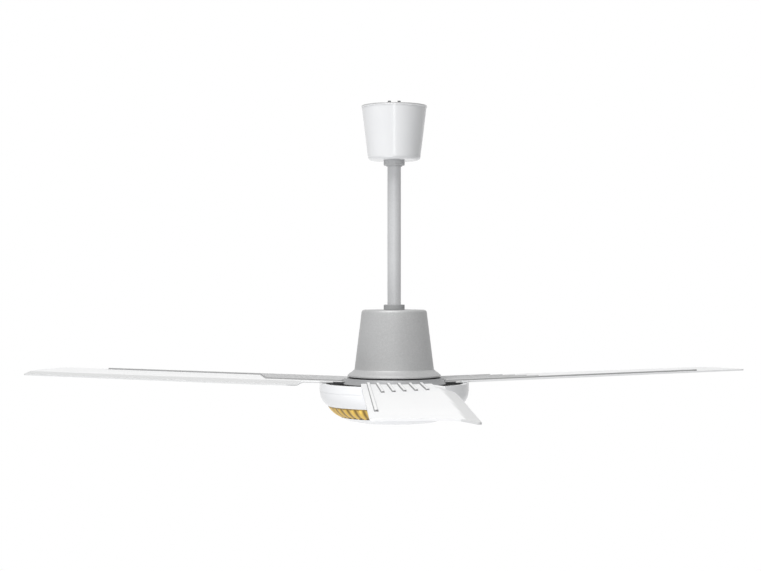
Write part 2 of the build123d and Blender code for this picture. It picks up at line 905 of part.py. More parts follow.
def build():
    hanger_span, cross_span = 2 * ear_out, 2 * rod_r
    save("hanger_roller", hanger_roller())
    save("roller_bush", roller_bush())
    save("hanger_clevis", hanger_clevis())
    save("hanger_bolt", bolt(hanger_bolt_r, hanger_bolt_flats, hanger_head, hanger_span, hanger_nut_height))
    save("hanger_nut", nut(hanger_bolt_r, hanger_bolt_flats, hanger_span, hanger_nut_height))
    cross_bolt = bolt(cross_bolt_r, cross_bolt_flats, cross_head, cross_span, cross_nut_height)
    cross_nut = nut(cross_bolt_r, cross_bolt_flats, cross_span, cross_nut_height)
    save("rod_bolts", group([place * cross_bolt for place in cross_bolt_places()]))
    save("rod_nuts", group([place * cross_nut for place in cross_bolt_places()]))
    pins = [place * split_pin(cross_span, cross_nut_height) for place in cross_bolt_places()]
    save("split_pins", group([split_pin(hanger_span, hanger_nut_height)] + pins))
    save("downrod", downrod())
    save("terminal_bracket", terminal_strap())
    save("terminal_block", terminal_block())
    save("canopy", canopy())
    save("canopy_collar", canopy_collar())
    save("canopy_set_screw", set_screw(canopy_floor_z - collar_height / 2))
    save("motor_cover", motor_cover())
    save("motor_cover_collar", motor_cover_collar())
    save("motor_cover_set_screw", set_screw(seat_z + cover_top + collar_height / 2))
    save("motor_shaft", motor_shaft())
    save("shaft_circlips", group([
        clip(upper_bearing_z), clip(lower_bearing_z - bearing_width - clip_thickness)
    ]))
    save("stator_core", stator_core())
    save("stator_windings", stator_windings())
    save("capacitor_bracket", capacitor_bracket())
    save("capacitor", capacitor())
    for name, top in (("upper", upper_bearing_z), ("lower", lower_bearing_z)):
        save(f"{name}_bearing_inner", inner_race(top))
        save(f"{name}_bearing_outer", outer_race(top))
        save(f"{name}_bearing_balls", ball_set(top))
    save("rotor_top_shell", rotor_top_shell())
    save("rotor_bottom_shell", rotor_bottom_shell())
    save("rotor_ring", rotor_ring())
    save("shell_screws", shell_screws())
    one_blade = blade()
    for number, angle in enumerate(blade_angles, start=1):
        save(f"blade_{number}", Rot(0, 0, angle) * one_blade)
    save("blade_gaskets", blade_gaskets())
    save("blade_screws", blade_screws())
    save("hub_cover", hub_cover())
    save("hub_cover_screws", hub_cover_screws())
    save("gold_ring", gold_ring())
    save("bottom_cap", bottom_cap())


build()
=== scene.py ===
import bmesh
import bpy
import json
import math
import numpy as np
from mathutils import Matrix, Vector


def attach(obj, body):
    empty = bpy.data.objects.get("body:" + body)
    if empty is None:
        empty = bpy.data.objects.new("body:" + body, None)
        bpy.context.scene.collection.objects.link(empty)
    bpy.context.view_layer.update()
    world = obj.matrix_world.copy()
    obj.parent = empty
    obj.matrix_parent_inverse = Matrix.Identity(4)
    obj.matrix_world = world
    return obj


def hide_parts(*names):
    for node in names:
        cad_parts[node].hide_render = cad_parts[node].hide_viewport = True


# Ceiling fan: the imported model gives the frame, this script gives it its looks.
# Sizes are in millimetres, and mm turns them into the scene's metres.

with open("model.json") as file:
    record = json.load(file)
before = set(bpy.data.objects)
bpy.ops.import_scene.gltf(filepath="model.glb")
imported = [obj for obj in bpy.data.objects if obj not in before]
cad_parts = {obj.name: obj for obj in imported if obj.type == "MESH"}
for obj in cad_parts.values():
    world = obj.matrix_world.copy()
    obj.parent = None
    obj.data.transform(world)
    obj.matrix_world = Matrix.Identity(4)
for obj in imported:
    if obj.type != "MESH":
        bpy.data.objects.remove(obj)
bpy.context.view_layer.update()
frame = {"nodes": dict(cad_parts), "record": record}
nodes = frame["nodes"]
scene = bpy.context.scene
mm = 0.001
seatZ = -423.0  # the face that the blades seat on, below the hanger's roller
print("frame loaded,", len(nodes), "nodes")

# The camera stands level with the middle of the downrod, a little left of the fan.
viewSet = {"place": (-0.1218, -2.397, -0.274), "turn": -2.4, "lens": 72.84, "sensor": 36, "far": 50}

camera = bpy.data.objects.new("viewCamera", bpy.data.cameras.new("viewCamera"))
scene.collection.objects.link(camera)
camera.location = viewSet["place"]
camera.rotation_euler = (math.radians(90), 0, math.radians(viewSet["turn"]))
camera.data.lens = viewSet["lens"]
camera.data.sensor_width = viewSet["sensor"]
camera.data.clip_end = viewSet["far"]
scene.camera = camera
scene.view_settings.view_transform = "Standard"


def addNode(tree, kind, spot=(0, 0), **values):
    node = tree.nodes.new(kind)
    node.location = spot
    for name, value in values.items():
        setattr(node, name, value)
    return node


def mathNode(tree, operation, a, b=None, c=None, clamp=False):
    # Each of a, b and c is a number or the socket that it comes from.
    node = addNode(tree, "ShaderNodeMath", operation=operation, use_clamp=clamp)
    for socket, value in zip(node.inputs, (a, b, c)):
        if value is None:
            continue
        if isinstance(value, (int, float)):
            socket.default_value = value
        else:
            tree.links.new(value, socket)
    return node.outputs[0]


def newGroup(name, inputs, outputs):
    group = bpy.data.node_groups.new(name, "ShaderNodeTree")
    for label, kind, value in inputs:
        socket = group.interface.new_socket(label, in_out="INPUT", socket_type=kind)
        if value is not None:
            socket.default_value = value
    for label, kind in outputs:
        group.interface.new_socket(label, in_out="OUTPUT", socket_type=kind)
    return group, addNode(group, "NodeGroupInput"), addNode(group, "NodeGroupOutput")


def textureIn(group, source, kind, scale, **values):
    # A texture inside a group, on the group's own vector.
    texture = addNode(group, kind)
    group.links.new(source.outputs["Vector"], texture.inputs["Vector"])
    group.links.new(scale, texture.inputs["Scale"])
    for label, value in values.items():
        texture.inputs[label].default_value = value
    return texture


# Fine grain: a speckle of two sizes, as in metallic paint or cast metal, and the flakes in it.
grainSet = {"smallDetail": 2.0, "largeDetail": 3.0, "smallShare": 0.7}
grainGroup, grainIn, grainOut = newGroup(
    "fineGrain",
    [
        ("Vector", "NodeSocketVector", None),
        ("Scale", "NodeSocketFloat", 900.0),
        ("Coarse", "NodeSocketFloat", 0.2),
    ],
    [("Grain", "NodeSocketFloat"), ("Flake", "NodeSocketFloat")],
)
scale = grainIn.outputs["Scale"]
small = textureIn(grainGroup, grainIn, "ShaderNodeTexNoise", scale, Detail=grainSet["smallDetail"])
largeScale = mathNode(grainGroup, "MULTIPLY", scale, grainIn.outputs["Coarse"])
large = textureIn(grainGroup, grainIn, "ShaderNodeTexNoise", largeScale, Detail=grainSet["largeDetail"])
flakes = textureIn(grainGroup, grainIn, "ShaderNodeTexVoronoi", scale)
smallPart = mathNode(grainGroup, "MULTIPLY", small.outputs["Fac"], grainSet["smallShare"])
largePart = mathNode(grainGroup, "MULTIPLY", large.outputs["Fac"], 1 - grainSet["smallShare"])
grainGroup.links.new(mathNode(grainGroup, "ADD", smallPart, largePart), grainOut.inputs["Grain"])
grainGroup.links.new(flakes.outputs["Distance"], grainOut.inputs["Flake"])

# Soft wave: the slow unevenness of a moulded or sprayed face, and the faint dust on it.
waveSet = {"waveDetail": 1.5, "dustDetail": 6.0, "dustRough": 0.7, "dustFiner": 9.0}
waveGroup, waveIn, waveOut = newGroup(
    "softWave",
    [("Vector", "NodeSocketVector", None), ("Scale", "NodeSocketFloat", 18.0)],
    [("Wave", "NodeSocketFloat"), ("Dust", "NodeSocketFloat")],
)
scale = waveIn.outputs["Scale"]
slow = textureIn(waveGroup, waveIn, "ShaderNodeTexNoise", scale, Detail=waveSet["waveDetail"])
dustScale = mathNode(waveGroup, "MULTIPLY", scale, waveSet["dustFiner"])
dust = textureIn(waveGroup, waveIn, "ShaderNodeTexNoise", dustScale,
                 Detail=waveSet["dustDetail"], Roughness=waveSet["dustRough"])
waveGroup.links.new(slow.outputs["Fac"], waveOut.inputs["Wave"])
dustAmount = mathNode(waveGroup, "MULTIPLY_ADD", dust.outputs["Fac"], 0.5, 0.5)
waveGroup.links.new(dustAmount, waveOut.inputs["Dust"])

# What a finish has where its own values don't say otherwise.
commonFinish = {
    "stretch": (1, 1, 1), "coarse": 0.2, "wave": 18.0, "grainShare": 0.6, "contrast": 1.6, "bump": 0.1,
    "bumpDepth": 0.1, "waveLift": 1.0, "metal": 0.0, "coat": 0.0, "coatRough": 0.08, "ior": 1.5, "flake": 0.0,
}


def finish(name, ownValues):
    # One finish: colour and roughness follow the grain and the wave, and both lift the surface a little.
    values = {**commonFinish, **ownValues}
    material = bpy.data.materials.new(name)
    material.use_nodes = True
    tree = material.node_tree
    shader = tree.nodes["Principled BSDF"]
    coords = addNode(tree, "ShaderNodeTexCoord", (-1200, 0))
    stretch = addNode(tree, "ShaderNodeMapping", (-1000, 0))
    stretch.inputs["Scale"].default_value = values["stretch"]
    tree.links.new(coords.outputs["Object"], stretch.inputs["Vector"])
    grain = addNode(tree, "ShaderNodeGroup", (-750, 150), node_tree=grainGroup)
    grain.inputs["Scale"].default_value = values["grain"]
    grain.inputs["Coarse"].default_value = values["coarse"]
    tree.links.new(stretch.outputs["Vector"], grain.inputs["Vector"])
    wave = addNode(tree, "ShaderNodeGroup", (-750, -150), node_tree=waveGroup)
    wave.inputs["Scale"].default_value = values["wave"]
    tree.links.new(coords.outputs["Object"], wave.inputs["Vector"])

    tone = addNode(tree, "ShaderNodeMix", (-450, 200), data_type="RGBA")
    tone.inputs["A"].default_value = (*values["dark"], 1)
    tone.inputs["B"].default_value = (*values["light"], 1)
    grainPart = mathNode(tree, "MULTIPLY", grain.outputs["Grain"], values["grainShare"])
    wavePart = mathNode(tree, "MULTIPLY", wave.outputs["Wave"], 1 - values["grainShare"])
    spread = mathNode(tree, "MULTIPLY_ADD", mathNode(tree, "ADD", grainPart, wavePart), values["contrast"],
                      0.5 - 0.5 * values["contrast"], clamp=True)
    tree.links.new(spread, tone.inputs["Factor"])
    tree.links.new(tone.outputs["Result"], shader.inputs["Base Color"])
    if values["flake"]:
        shade = addNode(tree, "ShaderNodeMix", (-250, 350), data_type="RGBA", blend_type="MULTIPLY")
        shade.inputs["Factor"].default_value = 1.0
        share = values["flake"]
        flake = mathNode(tree, "MULTIPLY_ADD", grain.outputs["Flake"], share, 1 - 0.5 * share)
        tree.links.new(tone.outputs["Result"], shade.inputs["A"])
        tree.links.new(flake, shade.inputs["B"])
        tree.links.new(shade.outputs["Result"], shader.inputs["Base Color"])

    low, high = values["rough"]
    rough = mathNode(tree, "MULTIPLY_ADD", wave.outputs["Dust"], 2 * (high - low), low)
    tree.links.new(rough, shader.inputs["Roughness"])
    bump = addNode(tree, "ShaderNodeBump", (-250, -300))
    bump.inputs["Strength"].default_value = values["bump"]
    bump.inputs["Distance"].default_value = values["bumpDepth"] * mm
    lift = mathNode(tree, "MULTIPLY", wave.outputs["Wave"], values["waveLift"])
    tree.links.new(mathNode(tree, "ADD", grain.outputs["Grain"], lift), bump.inputs["Height"])
    tree.links.new(bump.outputs["Normal"], shader.inputs["Normal"])
    shader.inputs["Metallic"].default_value = values["metal"]
    shader.inputs["Coat Weight"].default_value = values["coat"]
    shader.inputs["Coat Roughness"].default_value = values["coatRough"]
    shader.inputs["IOR"].default_value = values["ior"]
    return material


finishSet = {
    "glossWhite": dict(
        dark=(0.80, 0.81, 0.83), light=(0.86, 0.865, 0.875), grain=700, grainShare=0.25, contrast=1.0,
        rough=(0.22, 0.3), bump=0.015, bumpDepth=0.05, coat=0.5, coatRough=0.06, wave=22
    ),
    # A darker copy of glossWhite for the canopy: painted shade.
    "cupWhite": dict(
        dark=(0.76, 0.77, 0.785), light=(0.82, 0.825, 0.835), grain=700, grainShare=0.25, contrast=1.0,
        rough=(0.22, 0.3), bump=0.015, bumpDepth=0.05, coat=0.5, coatRough=0.06, wave=22
    ),
    "satinWhite": dict(
        dark=(0.86, 0.865, 0.875), light=(0.90, 0.905, 0.91), grain=500, grainShare=0.25, contrast=1.0,
        rough=(0.42, 0.52), bump=0.008, bumpDepth=0.05, ior=1.3, wave=14
    ),
    "darkSteel": dict(
        dark=(0.07, 0.07, 0.075), light=(0.15, 0.15, 0.155), grain=500, contrast=1.8, rough=(0.35, 0.5),
        bump=0.2, bumpDepth=0.06, metal=0.7
    ),
    "silverPaint": dict(
        dark=(0.365, 0.368, 0.372), light=(0.495, 0.498, 0.50), grain=1500, grainShare=0.8, contrast=2.2,
        rough=(0.36, 0.46), bump=0.25, bumpDepth=0.06, metal=0.35, flake=0.35, waveLift=0.4
    ),
    "ringPaint": dict(
        dark=(0.26, 0.265, 0.275), light=(0.36, 0.365, 0.37), grain=1500, grainShare=0.8, contrast=2.2,
        rough=(0.4, 0.5), bump=0.25, bumpDepth=0.06, metal=0.3, flake=0.35, waveLift=0.4
    ),
    "rodPaint": dict(
        dark=(0.48, 0.485, 0.495), light=(0.61, 0.615, 0.625), grain=1400, grainShare=0.7, contrast=1.8,
        rough=(0.3, 0.4), bump=0.2, bumpDepth=0.05, metal=0.35, flake=0.25, waveLift=0.4
    ),
    "collarGrey": dict(
        dark=(0.30, 0.305, 0.31), light=(0.38, 0.385, 0.39), grain=1200, rough=(0.42, 0.55), bump=0.25,
        bumpDepth=0.08
    ),
    # A lighter copy of collarGrey for the canopy's collar: painted light.
    "collarGreyLit": dict(
        dark=(0.44, 0.445, 0.45), light=(0.54, 0.545, 0.55), grain=1200, rough=(0.4, 0.5), bump=0.25,
        bumpDepth=0.08
    ),
    "plateGold": dict(
        dark=(0.60, 0.40, 0.085), light=(0.82, 0.57, 0.14), grain=500, grainShare=0.3, contrast=1.4,
        rough=(0.24, 0.34), bump=0.06, bumpDepth=0.06, metal=0.8, wave=30
    ),
    "zincSteel": dict(
        dark=(0.40, 0.41, 0.42), light=(0.62, 0.625, 0.63), grain=600, grainShare=0.7, contrast=1.8,
        rough=(0.3, 0.48), bump=0.15, bumpDepth=0.06, metal=0.9, stretch=(1, 1, 0.15)
    ),
    "bearingSteel": dict(
        dark=(0.60, 0.60, 0.62), light=(0.72, 0.72, 0.74), grain=900, rough=(0.12, 0.2), bump=0.04,
        metal=1.0, stretch=(1, 1, 0.1)
    ),
    "blackRubber": dict(
        dark=(0.012, 0.012, 0.013), light=(0.03, 0.03, 0.032), grain=900, rough=(0.6, 0.8), bump=0.4
    ),
    "castAluminium": dict(
        dark=(0.42, 0.42, 0.43), light=(0.58, 0.58, 0.59), grain=450, contrast=1.8, rough=(0.42, 0.6),
        bump=0.5, bumpDepth=0.15, metal=0.8
    ),
    "coreSteel": dict(
        dark=(0.10, 0.10, 0.11), light=(0.26, 0.26, 0.27), grain=40, grainShare=0.9, contrast=2.0,
        rough=(0.4, 0.55), bump=0.6, bumpDepth=0.2, metal=0.8, stretch=(0.02, 0.02, 40)
    ),
    "copperWire": dict(
        dark=(0.35, 0.12, 0.05), light=(0.62, 0.28, 0.13), grain=60, grainShare=0.9, contrast=2.2,
        rough=(0.25, 0.4), bump=0.7, bumpDepth=0.3, metal=0.8, stretch=(0.05, 0.05, 30)
    ),
    "blackPlastic": dict(
        dark=(0.02, 0.02, 0.022), light=(0.045, 0.045, 0.05), grain=1000, rough=(0.35, 0.5), bump=0.3,
        bumpDepth=0.06
    ),
}
finishes = {name: finish(name, values) for name, values in finishSet.items()}


def marked(tree, attribute):
    return addNode(tree, "ShaderNodeAttribute", (-450, 700), attribute_name=attribute).outputs["Fac"]


def paintShadeOver(tree, factor, tint):
    # Lays painted shade over the finish's colour, as strongly as the factor says.
    shader = tree.nodes["Principled BSDF"]
    colour = shader.inputs["Base Color"].links[0].from_socket
    mix = addNode(tree, "ShaderNodeMix", (-200, 500), data_type="RGBA")
    mix.inputs["B"].default_value = (*tint, 1)
    tree.links.new(factor, mix.inputs["Factor"])
    tree.links.new(colour, mix.inputs["A"])
    tree.links.new(mix.outputs["Result"], shader.inputs["Base Color"])


# Some meshes carry marks of painted shade, which darken their finish where shade would fall: the blades'
# turned-down edge and ribs, the canopy's lip, the ring's lower edge, and the gold's grooves and top edge.
paintedShadeTints = {
    "lip": (0.67, 0.675, 0.68), "rib": (0.12, 0.122, 0.125), "groove": (0.20, 0.125, 0.035),
    "grooveSharp": 5.0, "canopyLip": (0.42, 0.425, 0.43), "ringEdge": (0.09, 0.09, 0.095),
}
blades = finishes["satinWhite"].node_tree
paintShadeOver(blades, marked(blades, "lipPaintedShade"), paintedShadeTints["lip"])
paintShadeOver(blades, marked(blades, "ribEdgePaintedShade"), paintedShadeTints["rib"])
gold = finishes["plateGold"].node_tree
deep = mathNode(gold, "POWER", marked(gold, "groovePaintedShade"), paintedShadeTints["grooveSharp"])
paintShadeOver(gold, mathNode(gold, "MAXIMUM", deep, marked(gold, "rimPaintedShade")), paintedShadeTints["groove"])
for name, tint in (("cupWhite", "canopyLip"), ("ringPaint", "ringEdge")):
    tree = finishes[name].node_tree
    paintShadeOver(tree, marked(tree, "edgePaintedShade"), paintedShadeTints[tint])

finishOfSlot = {
    "white_plastic": "glossWhite", "silver_paint": "silverPaint", "rod_paint": "rodPaint",
    "collar_plastic": "collarGrey", "gold_trim": "plateGold", "zinc_steel": "zincSteel",
    "bearing_steel": "bearingSteel", "black_rubber": "blackRubber", "cast_aluminium": "castAluminium",
    "core_steel": "coreSteel", "copper_wire": "copperWire", "black_plastic": "blackPlastic",
}
slotOfNode = {part["node"]: part["material_slot"] for part in frame["record"]["subparts"]}
bodies = frame["record"]["behaviour"]["bodies"]
bodyOfNode = {node: body for body, members in bodies.items() for node in members}
for name, node in nodes.items():
    node.data.materials.clear()
    node.data.materials.append(finishes[finishOfSlot[slotOfNode[name]]])
print("finishes made,", len(finishes))


def place(piece, *standsFor):
    # A finished piece rides on the body of the node it stands for and takes that node's finish.
    first = standsFor[0]
    if not piece.data.materials:
        piece.data.materials.append(finishes[finishOfSlot[slotOfNode[first]]])
    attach(piece, bodyOfNode[first])
    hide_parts(*standsFor)
    return piece


def newPiece(name, points, faces):
    mesh = bpy.data.meshes.new(name)
    mesh.from_pydata([tuple(p) for p in points], [], faces)
    mesh.validate()
    piece = bpy.data.objects.new(name, mesh)
    scene.collection.objects.link(piece)
    return piece


def smoothed(piece, angle=32):
    piece.data.shade_smooth()
    piece.data.set_sharp_from_angle(angle=math.radians(angle))
    return piece


def reworked(mesh, join=None, outward=False, cut=None):
    # Joins points that lie together, turns the faces outward, or cuts the mesh level at a height.
    work = bmesh.new()
    work.from_mesh(mesh)
    if join is not None:
        bmesh.ops.remove_doubles(work, verts=work.verts, dist=join)
    if outward:
        bmesh.ops.recalc_face_normals(work, faces=work.faces)
    if cut is not None:
        everything = work.verts[:] + work.edges[:] + work.faces[:]
        bmesh.ops.bisect_plane(work, geom=everything, plane_co=(0, 0, cut * mm), plane_no=(0, 0, 1))
    work.to_mesh(mesh)
    work.free()


def addMark(piece, label, values):
    layer = piece.data.attributes.new(label, "FLOAT", "POINT")
    layer.data.foreach_set("value", np.asarray(values, np.float32))


def mergedCopy(node, name):
    # A copy of the node with its triangles joined, so that round faces shade smoothly.
    mesh = nodes[node].data.copy()
    mesh.name = name
    piece = bpy.data.objects.new(name, mesh)
    scene.collection.objects.link(piece)
    reworked(mesh, join=0.001 * mm)
    if mesh.has_custom_normals:
        piece.select_set(True)
        bpy.context.view_layer.objects.active = piece
        bpy.ops.mesh.customdata_custom_splitnormals_clear()
        piece.select_set(False)
    smoothed(piece)
    return place(piece, node)


copied = {
    "canopy": "canopyCup", "canopy_collar": "canopyCollar", "motor_cover_collar": "coverCollar",
    "downrod": "downTube", "motor_cover": "motorCover", "rotor_top_shell": "ringShell",
    "hub_cover": "hubBowl", "bottom_cap": "bottomCap", "hanger_clevis": "hangerArms",
    "hanger_roller": "hangerRoller", "motor_shaft": "motorShaft", "hanger_bolt": "hangerBolt",
    "rod_bolts": "rodBolts", "split_pins": "splitPins", "terminal_block": "terminalBlock",
    "capacitor": "capacitorCan", "rotor_bottom_shell": "lowerShell",
}
ownFinish = {
    "hangerArms": "darkSteel", "canopyCollar": "collarGreyLit",
    "canopyCup": "cupWhite", "ringShell": "ringPaint",
}
copies = {name: mergedCopy(node, name) for node, name in copied.items()}
for name, finishName in ownFinish.items():
    copies[name].data.materials[0] = finishes[finishName]
print("smooth copies made,", len(copies))

# Edges that read as thin lines: the foot of the motor cover, the top and lower edge of the ring, the bowl's
# rim and band, the canopy's lip. Heights are above the seat, and the canopy's is above the roller.
edgeSet = {
    "lift": 1.0, "coverFoot": 14.0, "ringTop": 3.0, "ringTopR": (65.0, 76.0),
    "rimDrop": 2.2, "rimR": 100.0, "rimLow": -1.5, "bandR": 116.4, "bandJoin": 0.05,
    "canopyLip": 3.0, "ringCut": -3.2, "ringEdge": -3.3, "ringEdgeR": 75.0,
}


def pointsOf(name):
    # Each point of a piece with its distance from the axis and its height above the seat.
    for point in copies[name].data.vertices:
        yield point, math.hypot(point.co.x, point.co.y) / mm, point.co.z / mm - seatZ


for point, radius, height in pointsOf("motorCover"):
    if height < edgeSet["coverFoot"]:
        point.co.z += edgeSet["lift"] * mm
for point, radius, height in pointsOf("ringShell"):
    if edgeSet["ringTopR"][0] < radius < edgeSet["ringTopR"][1] and height > edgeSet["ringTop"]:
        point.co.z += edgeSet["lift"] * mm
for point, radius, height in pointsOf("hubBowl"):
    if radius > edgeSet["rimR"] and height > edgeSet["rimLow"]:
        point.co.z -= edgeSet["rimDrop"] * mm
    if radius > edgeSet["bandR"]:
        point.co.xy *= edgeSet["bandR"] / radius
reworked(copies["hubBowl"].data, join=edgeSet["bandJoin"] * mm)
smoothed(copies["hubBowl"])

# Painted shade: a grey line on the canopy's lip above the cut, and a dark line along the ring's lower edge
# below its cut.
reworked(copies["canopyCup"].data, cut=edgeSet["canopyLip"])
addMark(copies["canopyCup"], "edgePaintedShade", [
    height + seatZ > edgeSet["canopyLip"] + 0.01 for point, radius, height in pointsOf("canopyCup")])
reworked(copies["ringShell"].data, cut=seatZ + edgeSet["ringCut"])
addMark(copies["ringShell"], "edgePaintedShade", [
    radius > edgeSet["ringEdgeR"] and height < edgeSet["ringEdge"]
    for point, radius, height in pointsOf("ringShell")])

# Blades: a pressed sheet with a turned-down edge and raised ribs, built section by section. u runs out
# along the blade from the fan's axis and v across it, from the back edge to the lip.
bladeSet = {
    "rootStart": 60.0, "tipBack": 697.0, "tipLip": 689.0, "backRoot": -54.0, "backTip": -62.5,
    "lipSide": [(60, 54), (85, 54), (105, 60), (138, 71), (190, 78), (352, 74), (500, 69.0), (689, 63)],
    "knee": (138.0, 71.0), "thickness": 2.5, "tipCorner": 5.0, "tipRise": 1.5, "riseFrom": 88.0,
    "lipWidth": 19.5, "lipStart": 126.0, "lipFull": 135.0, "lipDrop": (4.7, 4.0),
    "crease": (46.0, 12.0), "creaseDrop": (0.3, 1.0),
    "ribHeight": 2.5, "ribWidth": 4.6, "ribRound": 0.35, "ribStart": 81.2, "endRound": 1.4, "endRun": 0.35,
    "shortRibs": (-29.0, -13.0, 3.0, 20.0, 37.0), "shortEnd": 262.0, "shortSlant": 0.75,
    "longRib": (-42.5, -51.0), "longEnd": 592.0, "lipColumns": 9, "join": 0.002, "sharp": 28,
}
# Painted shade: how dark each mark is, and how far it reaches from the ribs, the ring and the root's corners.
paintedShadeSet = {
    "foot": 0.45, "shoulder": 1.0, "ahead": 1.0, "endBack": 0.3, "sideShade": 0.68, "endShade": 0.9,
    "shoulderShade": 0.3, "edgePaintedShade": 0.6, "edgeEnd": 150.0, "ringShadow": 80.6, "cornerEnd": 79.0,
    "lipFade": 1.5,
}
# Places of the sections: over the whole blade, before its tip, and about each rib's start and end.
stopSet = {
    "plain": (0, 10, 16, 17.5, 19, 20.3, 20.5, 20.9, 22, 25, 30, 37, 45, 55, 66, 70, 75, 78, 85, 95, 110, 130,
              144, 160, 171, 184, 196, 210, 240, 292, 350, 410, 470, 520, 540, 560, 600, 622),
    "beforeTip": (5, 3.8, 2.4, 1.2, 0.4, 0), "ribStart": (-0.3, 0, 0.3, 1),
    "ribEnd": (-2, -1.5, -1.1, -0.8, -0.55, -0.35, -0.18, 0, 0.15, 0.5, 0.9, 1.3),
}
half, soft = bladeSet["ribWidth"] / 2, bladeSet["ribRound"]
lipPoints = np.array(bladeSet["lipSide"], float)


def lipCurve(u):
    # A smooth line through the lip side's points, by monotone slopes.
    x, y = lipPoints[:, 0], lipPoints[:, 1]
    d = np.diff(y) / np.diff(x)
    m = np.zeros(len(x))
    m[1:-1] = [0 if a * b <= 0 else 2 * a * b / (a + b) for a, b in zip(d[:-1], d[1:])]
    m[-1] = d[-1]
    k = int(np.clip(np.searchsorted(x, u) - 1, 0, len(x) - 2))
    h = x[k + 1] - x[k]
    t = (u - x[k]) / h
    return ((2 * t**3 - 3 * t**2 + 1) * y[k] + (t**3 - 2 * t**2 + t) * h * m[k]
            + (-2 * t**3 + 3 * t**2) * y[k + 1] + (t**3 - t**2) * h * m[k + 1])


def bladeRibs(u):
    # Each rib's middle at u, with the u of its end.
    sizes = bladeSet
    first = sizes["shortRibs"][0]
    ribs = [(v, sizes["shortEnd"] - sizes["shortSlant"] * (v - first)) for v in sizes["shortRibs"]]
    middle = np.interp(u, (sizes["rootStart"], sizes["longEnd"]), sizes["longRib"])
    return [(middle, sizes["longEnd"])] + ribs


def bladeSection(s):
    # At share s of the blade: its edges, where it bends, and how far it drops from there.
    sizes = bladeSet
    root = sizes["rootStart"]
    uBack = root + (sizes["tipBack"] - root) * s
    uLip = root + (sizes["tipLip"] - root) * s
    back = np.interp(uBack, (root, sizes["tipBack"]), (sizes["backRoot"], sizes["backTip"]))
    lip = float(lipCurve(uLip))
    corner = sizes["tipCorner"]
    left = min(corner, sizes["tipBack"] - uBack)
    tuck = corner - math.sqrt(max(0.0, corner**2 - (corner - left) ** 2))
    back, lip = back + tuck, lip - tuck
    along = max(0.0, (uLip - sizes["lipFull"]) / (sizes["tipBack"] - sizes["lipFull"]))
    grown = min(1.0, max(0.0, (uLip - sizes["lipStart"]) / (sizes["lipFull"] - sizes["lipStart"])))
    grown = grown * grown * (3 - 2 * grown)
    kneeU, kneeV = sizes["knee"]
    bend = min((kneeV if uLip <= kneeU else lip) - sizes["lipWidth"], lip - 1)
    crease = np.interp(along, (0, 1), sizes["crease"])
    creaseDrop = np.interp(along, (0, 1), sizes["creaseDrop"]) * grown
    slope = np.interp(along, (0, 1), sizes["lipDrop"]) / sizes["lipWidth"] * grown
    return uBack, back, lip, bend, crease, creaseDrop, slope


def bladeStops(length):
    sizes = bladeSet
    stops = list(stopSet["plain"]) + [length - k for k in stopSet["beforeTip"]]
    for centre, end in bladeRibs(bladeSection(0.3)[0]):
        start = math.sqrt(sizes["ribStart"] ** 2 - centre**2) - sizes["rootStart"]
        stops += [start + k for k in stopSet["ribStart"]]
        tip = np.interp(centre, (sizes["backTip"], sizes["knee"][1]), (sizes["tipBack"], sizes["tipLip"]))
        stop = (end - sizes["rootStart"]) * length / (tip - sizes["rootStart"])
        stops += [stop + k for k in stopSet["ribEnd"]]
    return sorted(set(round(s, 3) for s in stops))


def bladeColumns(ribs, back, lip, crease):
    # Places across the blade, close together at each rib's walls.
    foot = paintedShadeSet["foot"]
    across = [foot + 0.1, foot, 0, -0.12 * soft, -0.45 * soft, -soft, -0.9, -1.3]
    line = [back, back + 0.5]
    for centre, _ in ribs:
        line += [centre - half - k for k in across] + [centre] + [centre + half + k for k in reversed(across)]
    tail = np.linspace(max(ribs[-1][0] + half + 1.5, crease), lip - 0.5, bladeSet["lipColumns"])
    return np.maximum(np.array(line + list(tail) + [lip]), back)


def ribStop(v, centre, end):
    return end - bladeSet["endRound"] * np.clip(np.abs(v - centre) / half, 0, 1) ** 3


def ribLift(u, v, ribs):
    lift = np.zeros(len(v))
    for centre, end in ribs:
        reach = np.clip((ribStop(v, centre, end) - u) / bladeSet["endRun"], 0, 1)
        reach = reach * (np.hypot(u, v) >= bladeSet["ribStart"])
        side = np.clip((half - np.abs(v - centre)) / soft, 0, 1)
        lift = np.maximum(lift, bladeSet["ribHeight"] * reach * np.sqrt(np.clip(1 - (1 - side) ** 2, 0, 1)))
    return lift


def paintedRibShade(u, v, ribs):
    # Painted shade: marks the ribs' walls, their right shoulders and ends, and the sheet next to the ring, to
    # be darkened.
    shade = (np.hypot(u, v) < paintedShadeSet["ringShadow"]) * 1.0
    for centre, end in ribs:
        off = np.abs(v - centre) - half
        near = off < paintedShadeSet["foot"] + 0.05
        begun = np.hypot(u, v) > bladeSet["ribStart"] - 0.5
        beside = near & (off > -0.5 * soft) & (u < end + paintedShadeSet["foot"]) & begun
        shoulder = (v > centre) & (off > -paintedShadeSet["shoulder"]) & (off <= 0) & (u < end)
        ahead = near & (u > ribStop(v, centre, end) - paintedShadeSet["endBack"]) & (u < end + paintedShadeSet["ahead"])
        for zone, name in ((beside, "sideShade"), (shoulder, "shoulderShade"), (ahead, "endShade")):
            shade = np.maximum(shade, zone * paintedShadeSet[name])
    return shade


def sheetFaces(rows, count):
    # Faces of a closed sheet: its top, its underside and its four edges.
    base, last = rows * count, (rows - 1) * count
    faces = []
    for i in range(rows - 1):
        for j in range(count - 1):
            a, b = i * count + j, (i + 1) * count + j
            faces.append((a, b, b + 1, a + 1))
            faces.append((base + a + 1, base + b + 1, base + b, base + a))
    for i in range(rows - 1):
        a, b = i * count, (i + 1) * count
        faces.append((a, base + a, base + b, b))
        faces.append((b + count - 1, base + b + count - 1, base + a + count - 1, a + count - 1))
    for j in range(count - 1):
        faces.append((j + 1, base + j + 1, base + j, j))
        faces.append((last + j, base + last + j, base + last + j + 1, last + j + 1))
    return faces


